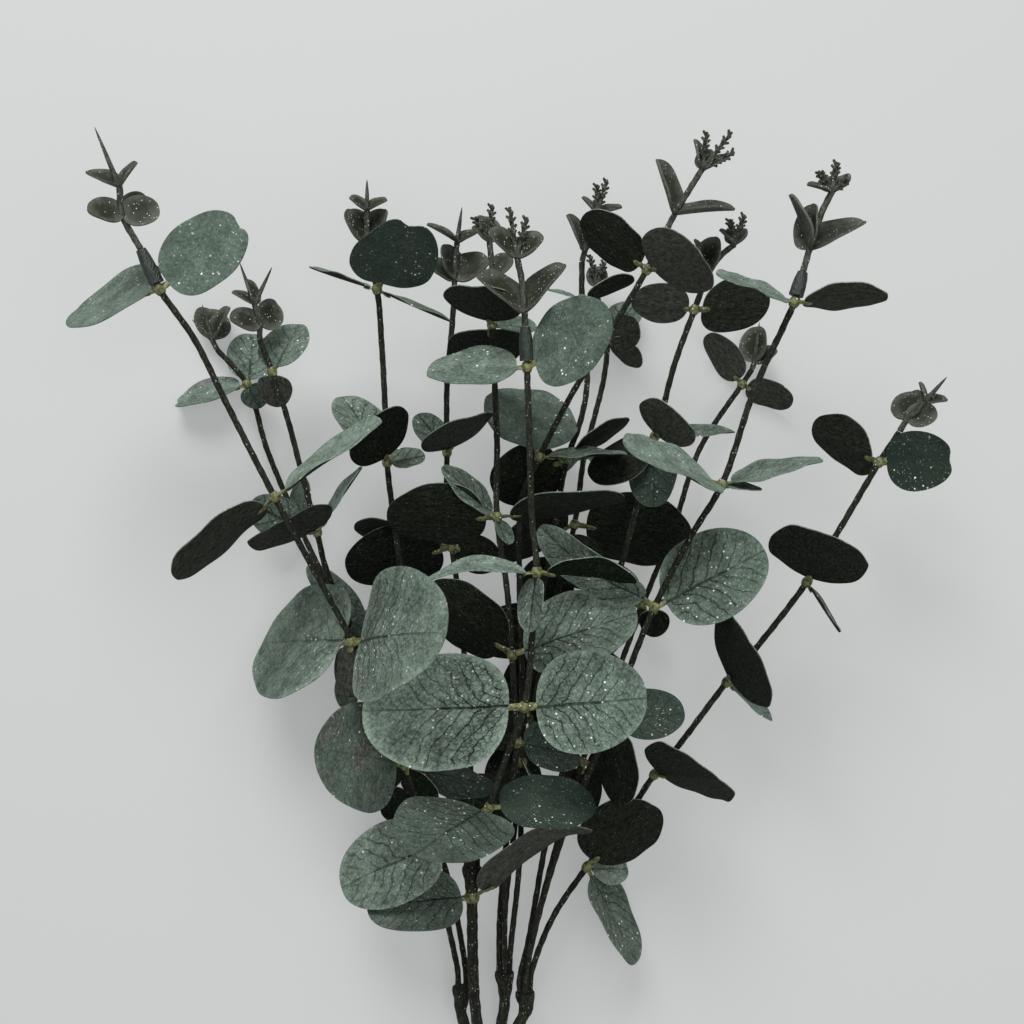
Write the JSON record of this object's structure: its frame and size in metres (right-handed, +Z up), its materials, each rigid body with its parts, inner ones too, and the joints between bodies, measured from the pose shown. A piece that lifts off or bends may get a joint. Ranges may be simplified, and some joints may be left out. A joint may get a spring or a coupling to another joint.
{
  "type": "eucalyptus branch",
  "caption": "Leafy artificial eucalyptus branch lying on its back: grey-green round leaves in pairs on dark stems, joined to one plain stalk.",
  "frame": {"origin": "on the surface it lies on, under the middle of its bounding box", "axes": "+X to the right across the branch, +Y from the stalk towards the leafy head, +Z up"},
  "size_m": [0.3391, 0.4096, 0.131],
  "materials": {
    "leaf_fabric": "frosted grey-green fabric with a dark printed vein net and fine glitter, nearly black fibrous underside",
    "stem_plastic": "dark olive-brown moulded plastic with fine fibres",
    "collar_plastic": "translucent yellow-olive moulded plastic",
    "tip_plastic": "moulded olive plastic, frosted grey on top",
    "sleeve_plastic": "dark green moulded plastic"
  },
  "bodies": {
    "root": {"twig_left_outer": "leaf_fabric", "twig_left_back": "leaf_fabric", "twig_left_inner": "leaf_fabric", "twig_left_middle": "leaf_fabric", "twig_centre_left": "leaf_fabric", "twig_centre_high": "leaf_fabric", "twig_centre_front": "leaf_fabric", "twig_centre_back": "leaf_fabric", "twig_centre_far": "leaf_fabric", "twig_right_crossing": "leaf_fabric", "twig_right_inner": "leaf_fabric", "twig_right_middle": "leaf_fabric", "twig_right_back": "leaf_fabric", "twig_right_low": "leaf_fabric", "tip_left_outer": "tip_plastic", "tip_left_back": "tip_plastic", "tip_left_inner": "tip_plastic", "tip_left_middle": "tip_plastic", "tip_centre_left": "tip_plastic", "tip_centre_high": "tip_plastic", "tip_centre_front": "tip_plastic", "tip_centre_back": "tip_plastic", "tip_centre_far": "tip_plastic", "tip_right_crossing": "tip_plastic", "tip_right_inner": "tip_plastic", "tip_right_middle": "tip_plastic", "tip_right_back": "tip_plastic", "tip_right_low": "tip_plastic", "sleeve_left_outer": "sleeve_plastic", "sleeve_centre_front": "sleeve_plastic", "sleeve_right_middle": "sleeve_plastic", "main_stem_left_back": "stem_plastic", "main_stem_left_front": "stem_plastic", "main_stem_right_middle": "stem_plastic", "main_stem_right": "stem_plastic", "stalk": "stem_plastic"}
  },
  "joints": []
}
